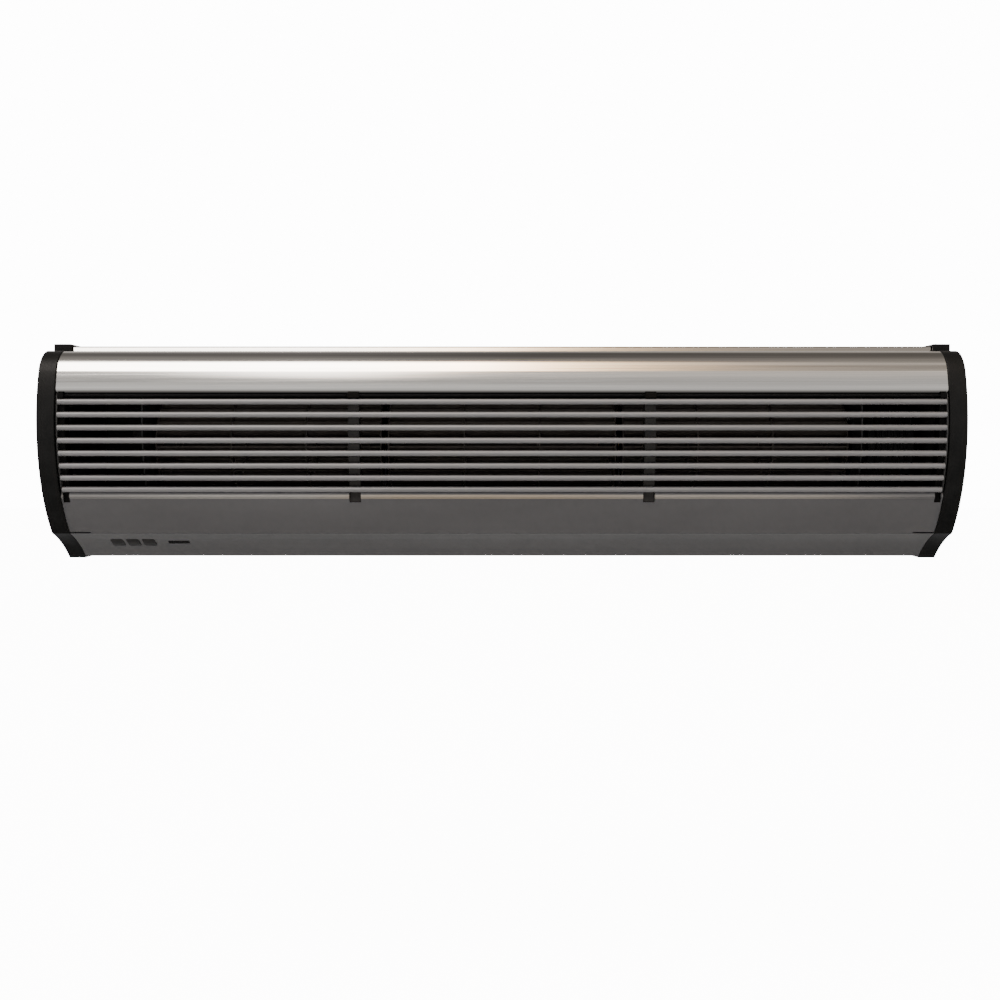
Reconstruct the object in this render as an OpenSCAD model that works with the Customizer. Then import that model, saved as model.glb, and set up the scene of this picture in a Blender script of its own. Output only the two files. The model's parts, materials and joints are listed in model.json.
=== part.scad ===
// Wall-mounted air curtain: a cross-flow fan in a long casing, drawing air in through
// bowed slats at the front and blowing it down through a slot at the bottom.
// X runs along the length, -Y is the front and +Z is up. The origin is the centre of
// the wall screws, on the wall. Depths named "from the front" start at the front bulge.

/* [Casing] */
// Length over both end caps
unit_w = 900; // [860:1:1200]
// Depth from the wall to the front bulge
unit_d = 180; // [178:1:200]
// Height of the raised rear ledge above the wall screws
top_z = 107; // [105:0.5:112]
// Depth of the flat underside below the wall screws
bottom_z = 111.5; // [108:0.5:114]
// Rise of the rear ledge above the top cover
step_h = 8.2; // [7:0.1:9.5]
// Distance from the front to the rear ledge
step_u = 54.4; // [50:0.2:60]
// Radius of the bowed front
front_r = 160; // [150:1:175]
// Height of the front bulge above the wall screws
bulge_z = 31; // [26:0.5:36]
// Radius of the top cover's shoulder
shoulder_r = 33; // [26:0.5:36]
// Depth of the lower crease below the wall screws
crease_z = 83; // [80:0.5:86]
// Outer radius of the lower crease
crease_r = 5; // [4.5:0.1:6]
// Radius of the hollow below the crease
cove_r = 173; // [150:1:200]
// Distance from the front to the outlet's lip
lip_u = 104.5; // [102:0.5:107]

/* [Sheet metal] */
// Thickness of the front sheets
skin_t = 1.5; // [1:0.1:1.8]
// Thickness of the casing, fan and carrier sheets
sheet_t = 1.2; // [0.8:0.1:1.5]
// How far the caps stand proud of the metal
cap_proud = 2; // [1.5:0.1:2.4]
// How far the caps stand proud of the cover's flat top
cover_proud = 0.3; // [0.3:0.1:1.5]
// How far the rear ledge's face leans back
ledge_lean = 4.3; // [3:0.1:5]
// How far the caps stand proud of the control band
band_proud = 0.5; // [0.3:0.1:1]
// Centreline radius of the folded corners
bend_r = 2.6; // [2.2:0.1:4]
// Radius of the top cover's rolled edge
cover_roll_r = 7; // [6:0.1:8]
// Radius of the fascia's rolled edge
fascia_roll_r = 4; // [3:0.1:5]
// Radius of the bead along the fascia's rolled edge
bead_r = 2; // [1.6:0.1:2.2]
// Length of the flange behind a rolled edge
roll_flange = 9; // [6:0.5:11]
// Clearance between pieces that only meet
gap = 0.25; // [0.2:0.01:0.3]

/* [Intake] */
// Number of slats
slat_count = 8; // [6:1:8]
// Height of the top slat's nose above the wall screws
slat_top_z = 47.2; // [46.5:0.1:47.5]
// Depth of the lowest slat's nose below the wall screws
slat_low_z = 38.2; // [37:0.1:38.4]
// Height of a slat's rounded nose
slat_h = 5.5; // [4.5:0.1:6]
// Thickness of a slat's tail
slat_tail_t = 1.6; // [1.2:0.1:2]
// Depth of a slat from nose to tail
slat_depth = 17; // [14:0.5:18]
// Height of the top cover's lower edge above the wall screws
cover_low_z = 52.3; // [51.8:0.1:54]
// Depth of the fascia's upper edge below the wall screws
fascia_top_z = 39.9; // [39.6:0.1:41]
// Width of an inner comb
comb_w = 11; // [8:0.5:14]
// Width of an end comb
end_comb_w = 6; // [4:0.5:8]
// Depth of a comb behind the slats' noses
comb_depth = 15; // [12:0.5:16]
// How far the combs lie behind the bowed front
comb_set = 6; // [5:0.5:8]

/* [Fan] */
// Distance from the front to the rotor's axis
rotor_u = 92; // [90:0.5:94]
// Height of the rotor's axis above the wall screws
rotor_z = 8; // [6:0.5:10]
// Outer radius of the blades
rotor_r = 45; // [42:0.5:46]
// Radial depth of the blades
blade_depth = 8.5; // [7:0.1:9.5]
// Thickness of a blade
blade_t = 0.9; // [0.7:0.05:1.2]
// Number of blades round a drum
blade_count = 32; // [24:1:36]
// Length of the bay beyond each bulkhead, for the electrics and the motor
bay_l = 98; // [95:1:104]
// Width of the gap between two drums
drum_gap = 6.5; // [6:0.1:8]
// Thickness of a drum's discs and rings
disc_t = 1.2; // [1:0.1:1.6]
// Radius of the shafts
shaft_r = 4; // [3.5:0.1:4.5]
// Radius of the rubber hubs
hub_r = 13; // [11:0.5:15]
// Length of a rubber hub
hub_l = 14; // [10:0.5:18]
// Radius of the scroll
scroll_r = 62; // [61:0.5:64]
// Running clearance of a shaft in its bush
run_fit = 0.05; // [0.03:0.01:0.08]

/* [Motor and wiring] */
// Radius of the motor
motor_r = 43; // [38:0.5:44]
// Length of the motor
motor_l = 54; // [48:0.5:58]
// Length of the rubber spacers behind the motor's lugs
spacer_l = 9; // [7:0.5:11]
// Radius of the motor's bolt circle
lug_r = 34; // [31:0.5:36]
// Radius of the hole in the cable grommet
cable_r = 4.5; // [3.5:0.1:5.5]
// Distance of the cable grommet from the unit's end
cable_in = 58; // [50:1:70]

/* [Controls] */
// Distance of the outermost button from the unit's end
button_in = 58.5; // [54:0.5:62]
// Spacing of the buttons
button_pitch = 16; // [15.5:0.1:18]
// Width of a button
button_w = 12.4; // [10:0.1:12.6]
// Length of a button across the band
button_h = 17; // [14:0.5:18]
// Travel of a button
button_travel = 0.6; // [0.4:0.05:0.7]
// Distance from the front to the middle of the controls
controls_u = 76.5; // [74:0.5:79]
// Distance of the receiver window from the unit's end
window_in = 120.7; // [116:0.1:124]
// Width of the receiver window
window_w = 21; // [16:0.5:24]
// Length of the receiver window across the band
window_h = 7.4; // [6:0.2:10]

/* [Outlet] */
// Chord of the deflector vane
vane_chord = 30; // [24:0.5:32]
// Height of the vane's pivot above the underside
vane_rise = 19; // [18:0.5:22]
// Radius of the vane's pivot pins
vane_pin_r = 2.5; // [2:0.1:3]

/* [Wall fixing] */
// Distance of the wall screws beyond the hooks
wall_screw_out = 20; // [15:1:26]
// Spacing of the wall screws in height
wall_dz = 80; // [60:1:90]
// Radius of the wall screw holes
wall_hole_r = 3; // [2.5:0.1:4]
// Thickness of the wall plate
plate_t = 2; // [1.5:0.1:2.5]
// Distance from the wall to the casing's back
back_gap = 6; // [5.5:0.1:7]
// Distance of the hooks from the unit's ends
hook_in = 200; // [170:1:240]
// Width of a hook
hook_w = 60; // [40:1:70]

/* [Hidden] */
$fn = 96;
big = 600;
cap_w = 17.5;
end_x = unit_w / 2 - cap_w;
comb_x = end_x / 3;
bulkhead_x = unit_w / 2 - bay_l;
drum_gap_x = bulkhead_x / 3;
cable_x = unit_w / 2 - cable_in;
button_x = unit_w / 2 - button_in;
window_x = unit_w / 2 - window_in;
hook_x = unit_w / 2 - hook_in;
wall_dx = 2 * hook_x + hook_w + 2 * wall_screw_out;
plate_x = end_x - 2 * gap;
carrier_x = plate_x - sheet_t;
cover_z = top_z - step_h;
back_y = -back_gap;
cap_back_y = -gap;
metal_i = cap_proud;
band_i = band_proud;
cover_i = cover_proud;
inner_i = metal_i + skin_t + gap;
lap_l = 0.4;
bend_step_a = 10;
join_a = 0.3;
cover_flange = 10;
ledge_flange = 14;

// A depth from the front bulge as a place on Y.
function at_u(u) = u - unit_d;
function unit(v) = v / norm(v);
function polar(r, a) = [r * cos(a), r * sin(a)];
// Where the circles (a, ra) and (b, rb) meet, to the left of the way from a to b.
function meet(a, ra, b, rb) =
    let (d = norm(b - a), t = (d * d + ra * ra - rb * rb) / (2 * d),
         h = sqrt(ra * ra - t * t), e = unit(b - a))
    a + t * e + h * [-e[1], e[0]];

front_c = [at_u(front_r), bulge_z];
ledge_y = at_u(step_u) + metal_i;
// The shoulder's centre where the front is drawn in by i and the top by top.
function shoulder_at(i, top) =
    let (z = cover_z - top - shoulder_r + i)
    [front_c[0] - sqrt(pow(front_r - shoulder_r, 2) - pow(z - bulge_z, 2)), z];
shoulder_c = shoulder_at(metal_i, cover_i);
ledge_z = cover_z - cover_i;
crease = [front_c[0] - sqrt(pow(front_r, 2) - pow(crease_z + bulge_z, 2)), -crease_z];
lip = [at_u(lip_u), -bottom_z];
cove_c = meet(lip, cove_r, crease, cove_r);

// 2D shapes are drawn with Y to the right and Z up, then stretched along X.
module along_x(x0, x1) {
    translate([x0, 0, 0]) rotate([90, 0, 90]) linear_extrude(x1 - x0) children();
}
module rect(y0, z0, y1, z1) {
    translate([y0, z0]) square([y1 - y0, z1 - z0]);
}
module wedge(r, a0, a1) {
    far = r / cos((a1 - a0) / 4);
    polygon([[0, 0], polar(far, a0), polar(far, a0 + (a1 - a0) / 4),
             polar(far, (a0 + a1) / 2), polar(far, a1 - (a1 - a0) / 4), polar(far, a1)]);
}
module ring_sector(r0, r1, a0, a1) {
    intersection() {
        difference() {
            circle(r1);
            circle(r0);
        }
        wedge(r1 * 1.2, a0, a1);
    }
}
module mirror_x() {
    children();
    mirror([1, 0, 0]) children();
}

// The casing's outline, drawn in by i, by low in the hollow and by top over the cover.
module outline(i, back, low, top) {
    r = crease_r - max(i, low);
    s = shoulder_at(i, top);
    shoulder_a = atan2(s[1] - front_c[1], s[0] - front_c[0]);
    difference() {
        union() {
            intersection() {
                translate(front_c) circle(front_r - i);
                polygon([front_c, front_c + big * polar(1, shoulder_a - join_a),
                         front_c - [big, big], front_c - [0, big]]);
            }
            translate(s) circle(shoulder_r - i);
            rect(s[0], bulge_z, back, cover_z - top);
            rect(at_u(step_u) + i, bulge_z, back, top_z - i);
            rect(front_c[0] - crease_r, -bottom_z, back, bulge_z + crease_r);
        }
        translate(cove_c) circle(cove_r + low);
        rect(-big, -big, big, -bottom_z + i);
        rect(back, -big, big, big);
        if (r > 0) crease_corner(crease_at(i, low, r), r);
    }
    if (r > 0) translate(crease_at(i, low, r)) circle(r);
}
// The centre of a crease of radius r between the front and the hollow.
function crease_at(i, low, r) = meet(cove_c, cove_r + low + r, front_c, front_r - i - r);
module crease_corner(c, r) {
    a = unit(c - front_c) * r * 2;
    b = unit(cove_c - c) * r * 2;
    polygon([c, c + a, c + a + b, c + b]);
}
// A sheet that follows the outline.
module skin(i, t, back, low, top) {
    difference() {
        outline(i, back, low, top);
        outline(i + t, back - t, low + t, top + t);
    }
}
// A lap inside a sheet of thickness t at p, along the direction e, that makes two runs one.
module lap(p, e, t) {
    s = left(e) * t * 0.36;
    a = p - e * lap_l;
    b = p + e * lap_l;
    polygon([a - s, b - s, b + s, a + s]);
}
function left(e) = [-e[1], e[0]];
// The corner at v between a and b, drawn off to the left, with centreline radius r.
function bend(a, v, b, r, off) =
    let (e = unit(v - a), f = unit(b - v), turn = atan2(e[0] * f[1] - e[1] * f[0], e * f),
         side = sign(turn), c = v - e * r * tan(abs(turn) / 2) + side * r * left(e),
         a0 = atan2(e[1], e[0]) - side * 90, n = ceil(abs(turn) / bend_step_a))
    [for (k = [0:n]) c + polar(r - side * off, a0 + turn * k / n)];
// The path p drawn off to its left, with such corners.
function run(p, r, off) = let (n = len(p)) concat(
    [p[0] + off * left(unit(p[1] - p[0]))],
    [for (k = [1:n - 2]) each bend(p[k - 1], p[k], p[k + 1], r, off)],
    [p[n - 1] + off * left(unit(p[n - 1] - p[n - 2]))]);
// A sheet of thickness t folded along the points p.
module folded(p, t, r) {
    there = run(p, r, -t / 2);
    back = run(p, r, t / 2);
    polygon(concat(there, [for (k = [len(back) - 1:-1:0]) back[k]]));
}
module rounded(w, h, r) {
    for (x = [-1, 1], y = [-1, 1]) translate([x * (w / 2 - r), y * (h / 2 - r)]) circle(r);
    square([w - 2 * r, h], center = true);
    square([w, h - 2 * r], center = true);
}
// A round bar along X between x0 and x1, centred on c.
module bar(c, r, x0, x1) {
    translate([x0, c[0], c[1]]) rotate([0, 90, 0]) cylinder(r = r, h = x1 - x0);
}

// ---- Front sheets, slats and combs ----
cover_roll_d = front_r - metal_i - cover_roll_r;
fascia_roll_d = front_r - metal_i - fascia_roll_r;
cover_edge_a = asin((cover_low_z + cover_roll_r - bulge_z) / cover_roll_d);
fascia_edge_a = asin((fascia_top_z + fascia_roll_r + bulge_z) / fascia_roll_d);
cover_roll = front_c + cover_roll_d * polar(1, 180 - cover_edge_a);
fascia_roll = front_c + fascia_roll_d * polar(1, 180 + fascia_edge_a);
// The height at y of the front's radius that runs at the angle a above the level.
function radius_z(y, a) = front_c[1] + (front_c[0] - y) * tan(a);
bead_proud = 0.5;
bead_c = front_c + (front_r - metal_i - bead_r + bead_proud) * polar(1, 180 + fascia_edge_a);
relief_l = 21;
relief_h = 1.3;
relief_z = crease_at(metal_i, band_i, 0)[1] + 0.5;

// A rolled edge of radius r about c, from the sheet met at a_skin, to a level flange.
module rolled_edge(c, r, a_skin, a_flange) {
    mid_r = r - skin_t / 2;
    flange_z = c[1] + sin(a_flange) * mid_r - skin_t / 2;
    translate(c) ring_sector(r - skin_t, r, min(a_skin, a_flange), max(a_skin, a_flange));
    lap(c + polar(mid_r, a_skin), polar(1, a_skin + 90), skin_t);
    rect(c[0], flange_z, c[0] + roll_flange, flange_z + skin_t);
    lap([c[0], flange_z + skin_t / 2], [1, 0], skin_t);
}
module top_cover() {
    color("silver") along_x(-end_x + gap, end_x - gap) {
        intersection() {
            skin(metal_i, skin_t, back_y, metal_i, cover_i);
            union() {
                polygon([[shoulder_c[0], big], [shoulder_c[0], radius_z(shoulder_c[0], cover_edge_a)],
                         front_c + big * polar(1, 180 - cover_edge_a), [-big, big]]);
                rect(shoulder_c[0], bulge_z, at_u(step_u) + metal_i - gap, cover_z);
            }
        }
        rolled_edge(cover_roll, cover_roll_r, 180 - cover_edge_a, 270);
        rect(at_u(step_u) + metal_i - gap - skin_t, cover_z - cover_i - cover_flange,
             at_u(step_u) + metal_i - gap, cover_z - cover_i - skin_t / 2);
    }
}
slat_d = front_r - metal_i - slat_h / 2;
slat_a0 = asin((slat_top_z - bulge_z) / slat_d);
slat_a1 = asin((-slat_low_z - bulge_z) / slat_d);
function slat_c(k) = front_c + slat_d
    * polar(1, 180 - slat_a0 - (slat_a1 - slat_a0) * k / (slat_count - 1));
module slat_2d(k) {
    nose = slat_h / 2;
    translate(slat_c(k)) {
        circle(nose);
        polygon([[0, -nose * 0.9], [nose * 2, -slat_tail_t / 2], [slat_depth - nose, -slat_tail_t / 2],
                 [slat_depth - nose, slat_tail_t / 2], [nose * 2, slat_tail_t / 2],
                 [0, nose * 0.9]]);
    }
}
module intake_slats() {
    color("darkgray") along_x(-carrier_x + gap, carrier_x - gap)
        for (k = [0:slat_count - 1]) slat_2d(k);
}
// A slat's tail with clearance all round, open at the front.
module slat_notch(k) {
    nose = slat_h / 2;
    translate(slat_c(k)) {
        circle(nose + gap);
        rect(-nose, -nose - gap, nose * 2, nose + gap);
        rect(0, -slat_tail_t / 2 - gap, slat_depth - nose + gap, slat_tail_t / 2 + gap);
    }
}
comb_top_z = cover_roll[1] - cover_roll_r - gap;
comb_low_z = fascia_roll[1] - fascia_roll_r - 3;
low_block_y = front_c[0] - sqrt(pow(front_r - metal_i - 1, 2) - pow(comb_low_z - bulge_z, 2));
low_block_d = 5;
module comb_2d() {
    difference() {
        intersection() {
            translate(front_c) difference() {
                circle(front_r - metal_i - comb_set);
                circle(front_r - metal_i - comb_set - comb_depth);
            }
            rect(-big, fascia_roll[1] + fascia_roll_r + gap, front_c[0], comb_top_z);
        }
        for (k = [0:slat_count - 1]) slat_notch(k);
    }
}
// The blocks that close a comb at the fascia and hook over the cover's rolled edge.
hook_t = 1.2;
hook_up = 4;
block_lap = 0.1;
module comb_blocks() {
    y = cover_roll[0] - cover_roll_r - gap;
    rect(y - hook_t, comb_top_z - hook_t, y + comb_set + 8, comb_top_z);
    rect(y - hook_t, comb_top_z - hook_t, y, comb_top_z + hook_up);
    rect(low_block_y, comb_low_z, low_block_y + low_block_d,
         fascia_roll[1] + fascia_roll_r + gap + block_lap);
}
module comb(x, w) {
    color("dimgray") along_x(x - w / 2, x + w / 2) {
        comb_2d();
        comb_blocks();
    }
}
end_comb_x = carrier_x - gap - end_comb_w / 2;
module comb_left() { comb(-comb_x, comb_w); }
module comb_right() { comb(comb_x, comb_w); }
module end_comb_left() { comb(-end_comb_x, end_comb_w); }
module end_comb_right() { comb(end_comb_x, end_comb_w); }
module comb_clearance() {
    for (x = [-end_comb_x, -comb_x, comb_x, end_comb_x]) {
        w = abs(x) == comb_x ? comb_w : end_comb_w;
        translate([x - w / 2 - gap, at_u(0), comb_low_z - gap])
            cube([w + 2 * gap, step_u, fascia_roll[1] + 2 * fascia_roll_r - comb_low_z]);
    }
}
// ---- Controls, set square to the band ----
band_r = cove_r + band_i;
controls_y = at_u(controls_u);
controls_z = cove_c[1] + sqrt(pow(band_r, 2) - pow(controls_y - cove_c[0], 2));
band_a = 180 - asin((controls_y - cove_c[0]) / band_r);
guide_t = 4.5;
board_d = 12.6;
board_t = 1.6;
switch_h = 3.4;
plunger_h = 0.6;
flange_t = 1.2;
button_side = 0.35;
crown_r = 40;
module on_band() {
    translate([0, controls_y, controls_z]) rotate([band_a, 0, 0]) children();
}
function button_at(k) = -button_x + (k - 1) * button_pitch;
module button_hole(x) {
    translate([x, 0, -guide_t - skin_t - 2])
        linear_extrude(guide_t + skin_t + 4)
            rounded(button_w + 2 * button_side, button_h + 2 * button_side, 2.6);
}
module window_hole(c) {
    translate([-window_x, 0, -guide_t - skin_t - 2])
        linear_extrude(guide_t + skin_t + 4) rounded(window_w + 2 * c, window_h + 2 * c, 1.2);
}
// One folded sheet: the fascia above the crease and the control band below it.
module front_fascia() {
    color("gray") difference() {
        along_x(-end_x + gap, end_x - gap) {
            intersection() {
                skin(metal_i, skin_t, back_y, band_i, cover_i);
                polygon([[at_u(lip_u), -big], [at_u(lip_u), radius_z(at_u(lip_u), -fascia_edge_a)],
                         front_c + big * polar(1, 180 + fascia_edge_a), [-big, -big]]);
            }
            rolled_edge(fascia_roll, fascia_roll_r, 180 + fascia_edge_a, 90);
            translate(bead_c) circle(bead_r);
            folded([[at_u(lip_u) - skin_t * 0.7, -bottom_z + metal_i + skin_t / 2],
                    [at_u(lip_u) + skin_t, -bottom_z + metal_i + skin_t / 2],
                    [at_u(lip_u) + skin_t, -bottom_z + metal_i + lip_flange_h]], skin_t, skin_t * 0.8);
        }
        on_band() {
            for (k = [1:3]) button_hole(button_at(k));
            window_hole(gap);
        }
        comb_clearance();
        // relief notches where the fold meets the ends
        mirror_x() translate([end_x - relief_l, at_u(0), relief_z])
            cube([relief_l + 1, step_u, relief_h]);
    }
}
guide_x0 = -button_x - button_w / 2 - 6;
guide_x1 = -window_x + window_w / 2 + 6;
guide_h = button_h + 9;
post_r = 2.2;
post_in = 3;
button_foot_z = -board_d + switch_h + plunger_h + button_travel + gap;
module button_guide() {
    post = board_d - skin_t - gap;
    color("#303032") on_band() difference() {
        union() {
            translate([guide_x0, -guide_h / 2, -skin_t - 0.6 - guide_t + 2])
                cube([guide_x1 - guide_x0, guide_h, guide_t - 2]);
            for (x = [guide_x0 + post_in, -window_x - window_w / 2 - post_in, guide_x1 - post_in],
                 y = [-1, 1])
                translate([x, y * (guide_h / 2 - post_in), -board_d + gap])
                    cylinder(r = post_r, h = post - 0.6);
        }
        for (k = [1:3]) button_hole(button_at(k));
        window_hole(gap);
    }
}
module control_board() {
    color("darkgreen") on_band() difference() {
        union() {
            translate([guide_x0, -guide_h / 2, -board_d - board_t])
                cube([guide_x1 - guide_x0, guide_h, board_t]);
            for (k = [1:3]) translate([button_at(k), 0, -board_d]) {
                translate([-3, -3, 0]) cube([6, 6, switch_h]);
                translate([0, 0, switch_h]) cylinder(r = 1.7, h = plunger_h);
            }
            translate([-window_x, 0, -board_d]) {
                translate([-4, -3, 0]) cube([8, 6, 4]);
                cylinder(r = 2.4, h = 6);
            }
        }
        for (x = [guide_x0 + post_in, guide_x1 - post_in], y = [-1, 1])
            translate([x, y * (guide_h / 2 - post_in), -board_d - board_t - 1])
                cylinder(r = 1.2, h = board_t + 2);
    }
}
module button(k) {
    top = 0.9;
    flange_z = -skin_t - 0.6 - guide_t + 2 - gap;
    color("#242426") on_band() translate([button_at(k), 0, 0]) {
        intersection() {
            translate([0, 0, flange_z - flange_t / 2])
                linear_extrude(top - flange_z + flange_t / 2) rounded(button_w, button_h, 2.4);
            translate([-button_w, 0, top - crown_r]) rotate([0, 90, 0])
                cylinder(r = crown_r, h = 2 * button_w);
        }
        translate([0, 0, flange_z - flange_t])
            linear_extrude(flange_t) rounded(button_w + 2, button_h + 3, 3);
        translate([0, 0, button_foot_z])
            cylinder(r = 2, h = flange_z - flange_t / 2 - button_foot_z);
    }
}
module button_1() { button(1); }
module button_2() { button(2); }
module button_3() { button(3); }
module receiver_window() {
    color("#141414") on_band() {
        translate([-window_x, 0, -skin_t - 1.2])
            linear_extrude(skin_t + 1.0) rounded(window_w, window_h, 1);
    }
}

// ---- Fan housing ----
bolt_r = 2;
screw_r = 1.9;
bearing_r = 15;
rotor_c = [at_u(rotor_u), rotor_z];
scroll_c = rotor_c + [6, -10];
outlet_y = scroll_c[0] + scroll_r;
inside_x = bulkhead_x - gap;
floor_z = -bottom_z + metal_i + sheet_t;
tongue_lead = 14;
lip_flange_h = 9;
shelf_z = fascia_roll[1] + fascia_roll_r - skin_t - gap - sheet_t / 2;
shelf = [low_block_y + low_block_d + gap, shelf_z];
tip = [rotor_c[0] - tongue_lead, shelf_z];
lip_foot = [at_u(lip_u) + 1.5 * skin_t + gap + sheet_t / 2, floor_z];
knee = [lip_foot[0], lip_foot[1] + lip_flange_h + 2];
module scroll_2d() {
    translate(scroll_c) ring_sector(scroll_r, scroll_r + sheet_t, 0, 105);
    rect(outlet_y, floor_z + gap, outlet_y + sheet_t, scroll_c[1]);
    a = scroll_c + polar(scroll_r + sheet_t / 2, 105);
    translate(a) circle(sheet_t * 0.9);
}
module scroll() {
    color("silver") along_x(-inside_x, inside_x) scroll_2d();
}
module tongue_2d() {
    folded([shelf, tip, knee, lip_foot], sheet_t, 3.2);
}
module tongue() {
    color("silver") along_x(-inside_x, inside_x) tongue_2d();
}
// The space in front of the tongue, left open for the wiring and the control board.
module wiring_2d(c) {
    polygon([[at_u(-20), shelf_z + c], tip + [0, c], knee + [c, 0], lip_foot + [c, -40],
             [at_u(-20), -bottom_z - 40]]);
}
// The room inside the casing's sheets and flanges, with its corners cut off at the folds.
module inner_2d() {
    y1 = back_y - sheet_t - gap;
    z1 = top_z - metal_i - sheet_t - gap;
    ledge_in = ledge_y + sheet_t + 3 * gap;
    difference() {
        outline(inner_i, y1, inner_i, cover_i + skin_t + gap);
        rect(-big, z1, big, big);
        rect(-big, -big, big, floor_z + gap);
        for (c = [[y1, z1], [y1, floor_z + gap], [ledge_in + ledge_lean, z1]])
            translate(c) rotate(45) square(bend_r, center = true);
        polygon([[ledge_y - 1, ledge_z - 1], [ledge_in, ledge_z - 1],
                 [ledge_in + ledge_lean, z1 + sheet_t], [ledge_y - 1, z1 + sheet_t]]);
        rect(ledge_y - skin_t - 2 * gap, cover_z - metal_i - ledge_flange - gap,
             ledge_y + sheet_t + gap, cover_z + 2);
        rect(at_u(lip_u) - skin_t - gap, -bottom_z,
             at_u(lip_u) + 1.5 * skin_t + gap, -bottom_z + metal_i + lip_flange_h + gap);
        translate(cover_roll) circle(cover_roll_r + gap);
        rect(cover_roll[0], cover_roll[1] - cover_roll_r - gap,
             cover_roll[0] + roll_flange + gap, cover_roll[1] - cover_roll_r + skin_t + gap);
        translate(fascia_roll) circle(fascia_roll_r + gap);
        rect(fascia_roll[0], fascia_roll[1] + fascia_roll_r - skin_t - gap,
             fascia_roll[0] + roll_flange + gap, fascia_roll[1] + fascia_roll_r + gap);
    }
}
module bulkhead_2d() {
    difference() {
        inner_2d();
        wiring_2d(0);
        // the slats and combs pass in front
        difference() {
            rect(-big, shelf_z, at_u(step_u), cover_roll[1]);
            translate(front_c) circle(front_r - metal_i - slat_depth - 2 * gap);
        }
    }
}
vane_c = [(at_u(lip_u) + outlet_y) / 2 + 3, -bottom_z + vane_rise];
vane_hole_r = vane_pin_r + 1.6;
tab_z = [60, -40];
tab_l = 12;
module bulkhead(side, hole_r, bolts) {
    x0 = min(side * bulkhead_x, side * (bulkhead_x + sheet_t));
    y = back_y - sheet_t - gap;
    color("silver") difference() {
        union() {
            along_x(x0, x0 + sheet_t) bulkhead_2d();
            for (z = tab_z)
                translate([min(side * bulkhead_x, side * (bulkhead_x + tab_l)), y - sheet_t, z - 9])
                    cube([tab_l, sheet_t, 18]);
        }
        bar(rotor_c, hole_r, x0 - 1, x0 + sheet_t + 1);
        bar(vane_c, vane_hole_r, x0 - 1, x0 + sheet_t + 1);
        if (bolts) for (a = [45:90:315])
            bar(rotor_c + polar(lug_r, a), bolt_r + gap, x0 - 1, x0 + sheet_t + 1);
        for (z = tab_z) translate([side * (bulkhead_x + tab_l - 5), y + 1, z]) rotate([90, 0, 0])
            cylinder(r = screw_r, h = sheet_t + 2);
    }
}
module bulkhead_left() { bulkhead(-1, bearing_r + gap, false); }
module bulkhead_right() { bulkhead(1, shaft_r + 6, true); }

// ---- Rotor ----
drum_rings = 2;
hub_wall = 0.02;
module blade_2d() {
    q = [rotor_r - 7, 0];
    r = 8;
    intersection() {
        translate(q) difference() {
            circle(r + blade_t / 2);
            circle(r - blade_t / 2);
        }
        difference() {
            circle(rotor_r - 0.2);
            circle(rotor_r - blade_depth);
        }
        rect(0, 0.5, rotor_r + 1, rotor_r);
    }
}
module drum(x0, x1) {
    step = (x1 - x0 - disc_t) / (drum_rings + 1);
    color("#9a9690") translate([0, rotor_c[0], rotor_c[1]]) {
        along_x(x0 + disc_t / 2, x1 - disc_t / 2)
            for (k = [0:blade_count - 1]) rotate(k * 360 / blade_count) blade_2d();
        for (x = [x0, x1 - disc_t]) along_x(x, x + disc_t) difference() {
            circle(rotor_r);
            circle(hub_r + hub_wall);
        }
        for (k = [1:drum_rings]) along_x(x0 + k * step, x0 + k * step + disc_t) difference() {
            circle(rotor_r);
            circle(rotor_r - blade_depth - 3);
        }
    }
}
drum_end = bulkhead_x - 6;
module drum_left() { drum(-drum_end, -drum_gap_x - drum_gap / 2); }
module drum_middle() { drum(-drum_gap_x + drum_gap / 2, drum_gap_x - drum_gap / 2); }
module drum_right() { drum(drum_gap_x + drum_gap / 2, drum_end); }
module hub(x, side) {
    x0 = min(x, x + side * hub_l);
    translate([x0, rotor_c[0], rotor_c[1]]) rotate([0, 90, 0]) difference() {
        union() {
            cylinder(r = hub_r, h = hub_l);
            translate([0, 0, side > 0 ? disc_t + gap : 0])
                cylinder(r = hub_r + 3, h = hub_l - disc_t - gap);
        }
        translate([0, 0, -1]) cylinder(r = shaft_r + hub_wall, h = hub_l + 2);
    }
}
hub_places = [[-drum_end, 1], [-drum_gap_x - drum_gap / 2, -1], [-drum_gap_x + drum_gap / 2, 1],
              [drum_gap_x - drum_gap / 2, -1], [drum_gap_x + drum_gap / 2, 1], [drum_end, -1]];
module drum_hubs() {
    color("#202020") for (h = hub_places) hub(h[0], h[1]);
}
module stub_shaft() {
    color("lightgray") bar(rotor_c, shaft_r, -bulkhead_x - 10, -drum_end + hub_l);
}
module link_shafts() {
    l = drum_gap / 2 + hub_l;
    color("lightgray") for (x = [-drum_gap_x, drum_gap_x]) bar(rotor_c, shaft_r, x - l, x + l);
}
motor_x0 = bulkhead_x + sheet_t + spacer_l + 2 * gap;
module motor_shaft() {
    color("lightgray") bar(rotor_c, shaft_r, drum_end - hub_l, motor_x0 + motor_l - 6);
}
module end_bearing() {
    color("#303030") translate([-bulkhead_x - 11, rotor_c[0], rotor_c[1]]) rotate([0, 90, 0])
        difference() {
            union() {
                cylinder(r = 12, h = 14);
                translate([0, 0, 3]) cylinder(r = bearing_r, h = 9.5);
                translate([0, 0, 6]) cylinder(r = bearing_r + 5, h = 5 - sheet_t - gap);
            }
            translate([0, 0, -1]) cylinder(r = shaft_r + run_fit, h = 16);
        }
}
hanger_t = 1.5;
bush_r = 10;
bush_l = 4.5;
hanger_r = bush_r + 4.5;
foot_l = 28;
foot_w = 14;
foot = [tip[0] - foot_l / 2 - 5, shelf_z + sheet_t / 2 + gap];
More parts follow.
